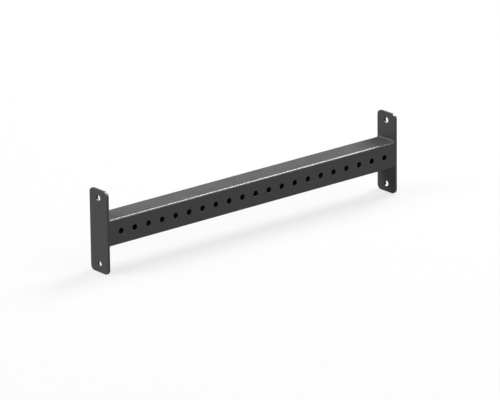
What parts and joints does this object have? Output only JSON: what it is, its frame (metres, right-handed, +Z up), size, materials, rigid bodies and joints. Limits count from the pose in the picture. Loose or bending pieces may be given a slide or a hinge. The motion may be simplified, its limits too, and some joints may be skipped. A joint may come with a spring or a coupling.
{
  "type": "pull-up rig cross-member",
  "caption": "Black square-tube cross-member for a pull-up rig, with an even row of through holes and a tall welded flange plate at each end.",
  "frame": {"origin": "centre of the beam, on the axis of the middle hole of the row", "axes": "+X along the beam towards the right-hand plate, -Y is the front, +Z is up"},
  "size_m": [1.1, 0.08, 0.25],
  "materials": {
    "powder_coat_black": "fine-textured semi-gloss black powder coat over steel"
  },
  "bodies": {
    "root": {"beam_tube": "powder_coat_black", "end_plate_left": "powder_coat_black", "end_plate_right": "powder_coat_black", "weld_top_left": "powder_coat_black", "weld_top_right": "powder_coat_black", "weld_bottom_left": "powder_coat_black", "weld_bottom_right": "powder_coat_black", "weld_front_left": "powder_coat_black", "weld_front_right": "powder_coat_black", "weld_back_left": "powder_coat_black", "weld_back_right": "powder_coat_black"}
  },
  "joints": []
}
